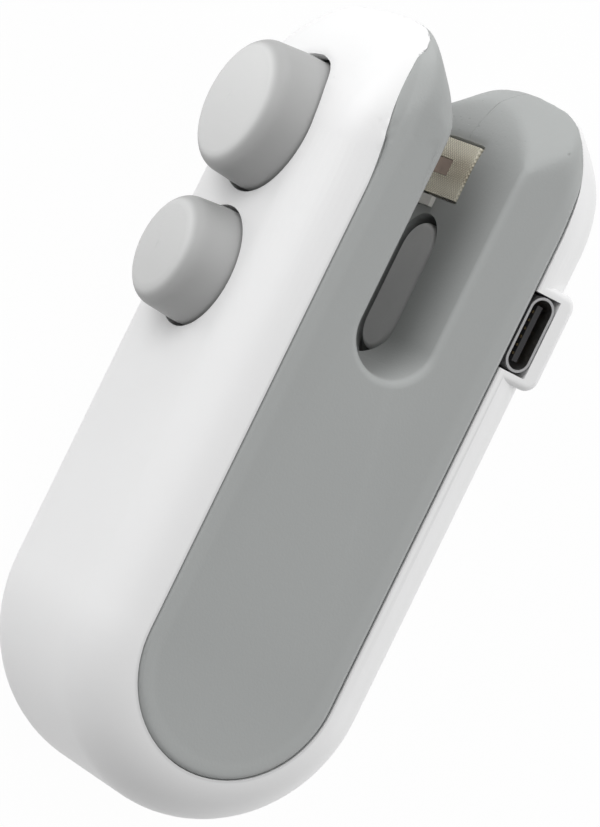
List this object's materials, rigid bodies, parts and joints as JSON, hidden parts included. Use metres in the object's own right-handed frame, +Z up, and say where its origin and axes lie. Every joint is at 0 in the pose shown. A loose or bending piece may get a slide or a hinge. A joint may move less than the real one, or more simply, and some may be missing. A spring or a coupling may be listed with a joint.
{
  "type": "bag sealer",
  "caption": "Palm-size rechargeable bag sealer and cutter: white U-shaped side shell, grey covers, two jaws with a slot between them, push buttons on one side and a charging socket.",
  "frame": {"origin": "the middle of the flat back cover it lies on", "axes": "X runs along the body towards the jaw tips, Y towards the push buttons, Z up through the thickness to the front cover"},
  "size_m": [0.0916, 0.0432, 0.0302],
  "materials": {
    "housing": "smooth satin white",
    "front_cover": "fine-grained mid grey",
    "back_cover": "fine-grained mid grey",
    "seal_spring": "drawn wire",
    "cut_spring": "drawn wire",
    "button_guide": "moulded grey",
    "anvil_strip": "dark grey, moulded",
    "heater_holder": "white heat-proof moulding",
    "heater_tape": "woven glass cloth with a release coat",
    "heating_ribbon": "heat-browned resistance alloy",
    "heater_terminals": "stamped brass",
    "usb_shell": "drawn steel",
    "usb_tongue": "black moulding",
    "usb_contacts": "gold-plated",
    "circuit_board": "green solder mask",
    "board_parts": "black epoxy packages",
    "seal_switch": "black moulding",
    "switch_lead": "red insulation",
    "battery_cell": "shrink sleeve",
    "battery_pads": "closed-cell foam",
    "battery_tab_plus": "nickel strip",
    "battery_tab_minus": "nickel strip",
    "cover_screws": "black-zinc plated",
    "seal_button": "satin mid grey",
    "seal_plunger": "natural nylon",
    "seal_pad": "grey silicone",
    "cut_button": "satin mid grey",
    "blade_carrier": "natural nylon",
    "cutter_blade": "ground steel",
    "blade_pin": "drawn steel"
  },
  "bodies": {
    "casing": {"housing": "housing", "front_cover": "front_cover", "back_cover": "back_cover", "seal_spring": "seal_spring", "cut_spring": "cut_spring", "button_guide": "button_guide", "anvil_strip": "anvil_strip", "heater_holder": "heater_holder", "heater_tape": "heater_tape", "heating_ribbon": "heating_ribbon", "heater_terminals": "heater_terminals", "usb_shell": "usb_shell", "usb_tongue": "usb_tongue", "usb_contacts": "usb_contacts", "circuit_board": "circuit_board", "board_parts": "board_parts", "seal_switch": "seal_switch", "switch_lead": "switch_lead", "battery_cell": "battery_cell", "battery_pads": "battery_pads", "battery_tab_plus": "battery_tab_plus", "battery_tab_minus": "battery_tab_minus", "cover_screws": "cover_screws"},
    "seal_press": {"seal_button": "seal_button", "seal_plunger": "seal_plunger", "seal_pad": "seal_pad"},
    "cutter": {"cut_button": "cut_button", "blade_carrier": "blade_carrier", "cutter_blade": "cutter_blade", "blade_pin": "blade_pin"}
  },
  "joints": [
    {"name": "seal_slide", "type": "slide", "parent": "casing", "child": "seal_press", "axis": [0, -1, 0], "range_m": [0, 0.0046], "stiffness_N_per_m": 900, "springref_m": -0.002, "deforming": ["seal_spring"]},
    {"name": "cut_slide", "type": "slide", "parent": "casing", "child": "cutter", "axis": [0, -1, 0], "range_m": [0, 0.005], "stiffness_N_per_m": 500, "springref_m": -0.002, "deforming": ["cut_spring"]}
  ]
}
